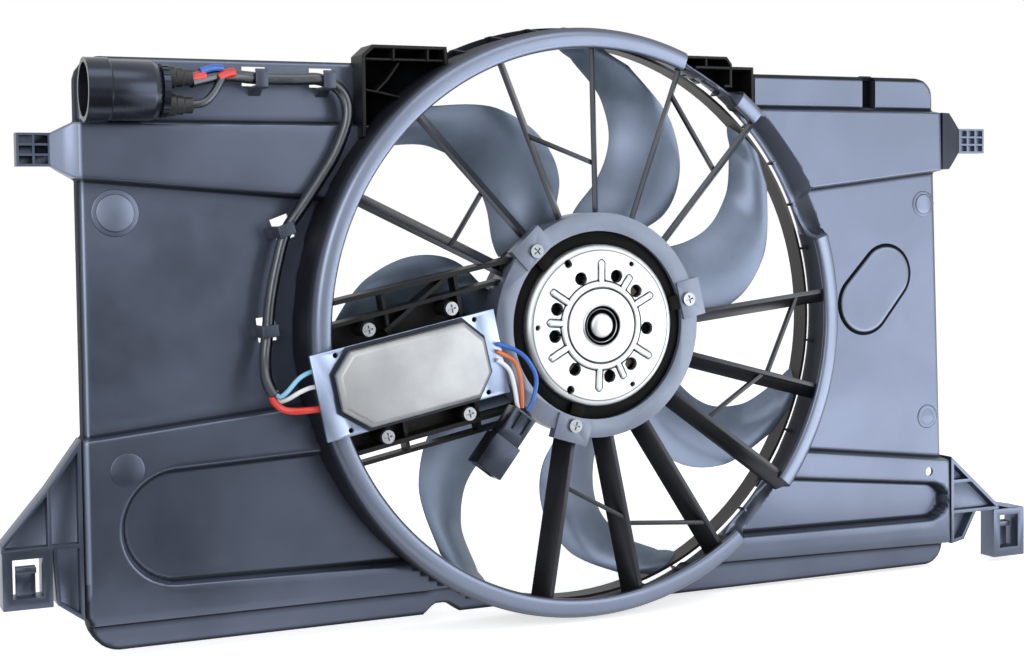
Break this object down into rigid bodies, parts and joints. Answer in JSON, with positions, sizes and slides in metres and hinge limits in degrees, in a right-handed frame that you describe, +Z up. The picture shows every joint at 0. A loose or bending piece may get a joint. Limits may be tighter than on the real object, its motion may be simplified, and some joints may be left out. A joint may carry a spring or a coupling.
{
  "type": "radiator fan",
  "caption": "Engine cooling fan: moulded radiator shroud with a ring impeller, an electric motor on stator struts, a control module in the airflow and a clipped harness.",
  "frame": {"origin": "on the fan's axis, in the plane of the rim that meets the radiator", "axes": "+X to the right and +Z up as seen from the engine; -Y points to the engine, so +Y points into the radiator"},
  "size_m": [0.7885, 0.0745, 0.408],
  "materials": {
    "panel_plastic": "moulded black glass-filled nylon, satin",
    "barrel_plastic": "moulded black glass-filled nylon, satin",
    "mount_plastic": "moulded nylon catching the light, satin",
    "carrier_plastic": "moulded black nylon",
    "hub_plastic": "moulded nylon",
    "blade_plastic": "moulded nylon, soft satin",
    "ring_plastic": "moulded nylon",
    "insert_steel": "turned steel",
    "nut_steel": "zinc plated",
    "shaft_steel": "ground steel",
    "core_steel": "stacked sheet",
    "winding_copper": "enamelled copper",
    "commutator_copper": "turned copper",
    "can_steel": "zinc plated drawn steel",
    "magnet_ferrite": "sintered ferrite",
    "bearing_steel": "ground steel",
    "brush_phenolic": "phenolic",
    "brush_carbon": "carbon",
    "end_plate_zinc": "pale zinc plated pressed steel",
    "seal_rubber": "moulded rubber",
    "screw_zinc": "zinc plated",
    "module_aluminium": "rolled sheet",
    "gasket_rubber": "cured sealant",
    "cover_aluminium": "die-cast, matt",
    "board_laminate": "glass laminate",
    "connector_plastic": "moulded nylon",
    "boot_rubber": "moulded rubber",
    "pin_brass": "tinned brass",
    "harness_tape": "wrapped cloth tape",
    "clip_plastic": "moulded nylon",
    "wire_red": "PVC",
    "wire_white": "PVC",
    "wire_pale_blue": "PVC",
    "wire_blue": "PVC",
    "wire_orange": "PVC"
  },
  "bodies": {
    "shroud": {"shroud_panel_left": "panel_plastic", "shroud_panel_right": "panel_plastic", "hook_bracket_left": "panel_plastic", "hook_bracket_right": "panel_plastic", "fan_barrel": "barrel_plastic", "stator_struts": "barrel_plastic", "strut_braces": "barrel_plastic", "motor_mount_ring": "mount_plastic", "module_carrier": "carrier_plastic", "motor_can": "can_steel", "motor_magnets": "magnet_ferrite", "motor_bearings": "bearing_steel", "brush_plate": "brush_phenolic", "motor_brushes": "brush_carbon", "motor_end_plate": "end_plate_zinc", "motor_seal_ring": "seal_rubber", "motor_screws": "screw_zinc", "module_plate": "module_aluminium", "module_gasket": "gasket_rubber", "module_cover": "cover_aluminium", "module_board": "board_laminate", "module_screws": "screw_zinc", "inlet_shell": "connector_plastic", "inlet_flange": "connector_plastic", "inlet_boots": "boot_rubber", "inlet_pins": "pin_brass", "inlet_bracket": "barrel_plastic", "harness_sleeve": "harness_tape", "harness_clips": "clip_plastic", "supply_wire_red": "wire_red", "supply_wire_white": "wire_white", "signal_wire_blue": "wire_pale_blue", "motor_lead_blue": "wire_blue", "motor_lead_orange": "wire_orange", "motor_lead_white": "wire_white", "lead_plug": "connector_plastic", "lead_socket": "connector_plastic"},
    "rotor": {"fan_hub": "hub_plastic", "fan_blades": "blade_plastic", "fan_ring": "ring_plastic", "hub_insert": "insert_steel", "hub_nut": "nut_steel", "motor_shaft": "shaft_steel", "armature_core": "core_steel", "armature_winding": "winding_copper", "commutator": "commutator_copper"}
  },
  "joints": [
    {"name": "fan_spin", "type": "hinge", "parent": "shroud", "child": "rotor", "pos_m": [0, 0, 0], "axis": [0, -1, 0], "continuous": true}
  ]
}
